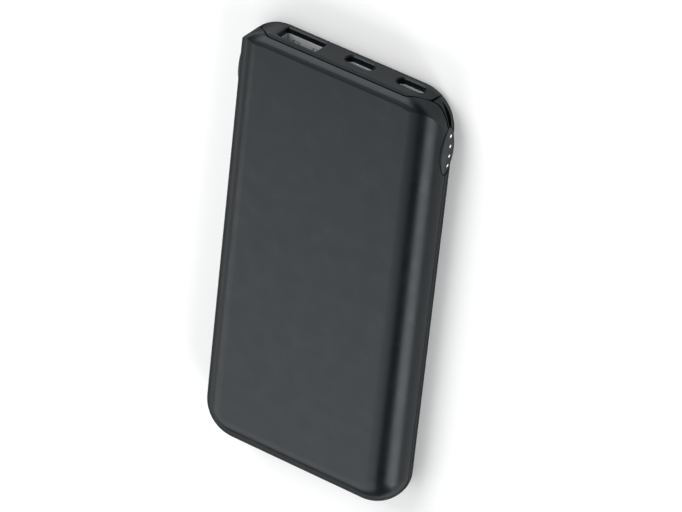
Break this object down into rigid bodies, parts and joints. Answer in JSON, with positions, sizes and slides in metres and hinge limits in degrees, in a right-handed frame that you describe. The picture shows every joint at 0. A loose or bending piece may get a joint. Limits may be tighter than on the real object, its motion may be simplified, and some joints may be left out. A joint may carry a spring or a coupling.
{
  "type": "power bank",
  "caption": "Slim pocket power bank: curved front cover over a tray, end cap with charging sockets, oval side button with charge lights, stacked pouch cells inside.",
  "frame": {"origin": "middle of the flat back face, which lies on Z = 0; X and Y are centred on the body", "axes": "+Z out of the front face through the thickness, +Y along the length towards the sockets, +X across the width towards the power button"},
  "size_m": [0.069, 0.136, 0.014],
  "materials": {
    "shell": "soft-touch satin black-grey",
    "button": "satin black-grey",
    "light_guide": "clear white, lit from behind",
    "socket_metal": "nickel plated",
    "socket_plastic": "moulded black",
    "contact": "gold plated",
    "board": "green solder mask",
    "screw": "zinc plated",
    "lamp": "lamp package",
    "plunger": "moulded",
    "ferrite": "pressed powder",
    "chip": "moulded epoxy",
    "can": "drawn can",
    "ceramic_part": "fired ceramic",
    "pouch": "matt laminated foil",
    "tab": "nickel strip",
    "tape": "double-sided tape",
    "foam": "closed-cell foam",
    "film": "insulating film",
    "red_wire": "silicone insulation",
    "black_wire": "silicone insulation",
    "sensor": "glass-coated bead"
  },
  "bodies": {
    "body": {"front_shell": "shell", "back_shell": "shell", "port_cap": "shell", "side_pad": "button", "usb_a_shell": "socket_metal", "usb_c_left_shell": "socket_metal", "usb_c_right_shell": "socket_metal", "switch_cover": "socket_metal", "usb_a_tongue": "socket_plastic", "usb_c_left_tongue": "socket_plastic", "usb_c_right_tongue": "socket_plastic", "switch_body": "socket_plastic", "usb_a_contacts": "contact", "usb_c_left_contacts": "contact", "usb_c_right_contacts": "contact", "circuit_board": "board", "protection_board": "board", "board_screws": "screw", "status_lamps": "lamp", "power_inductor": "ferrite", "charge_controller_chip": "chip", "fast_charge_chip": "chip", "power_transistors": "chip", "bulk_capacitors": "can", "ceramic_capacitors": "ceramic_part", "sense_resistors": "ceramic_part", "battery_cell_back": "pouch", "battery_cell_front": "pouch", "cell_tabs": "tab", "tape_back": "tape", "tape_middle": "tape", "foam_pads": "foam", "insulation_film": "film", "positive_lead": "red_wire", "negative_lead": "black_wire", "temperature_sensor": "sensor"},
    "button": {"power_button": "button", "light_guides": "light_guide"},
    "plunger": {"switch_plunger": "plunger"}
  },
  "joints": [
    {"name": "button_press", "type": "slide", "parent": "body", "child": "button", "axis": [-1, 0, 0], "range_m": [0, 0.00035], "stiffness_N_per_m": 4500},
    {"name": "plunger_press", "type": "slide", "parent": "body", "child": "plunger", "axis": [-1, 0, 0], "range_m": [0, 0.00035]}
  ],
  "couplings": [
    {"joint": "plunger_press", "follows": "button_press", "ratio": 1}
  ]
}
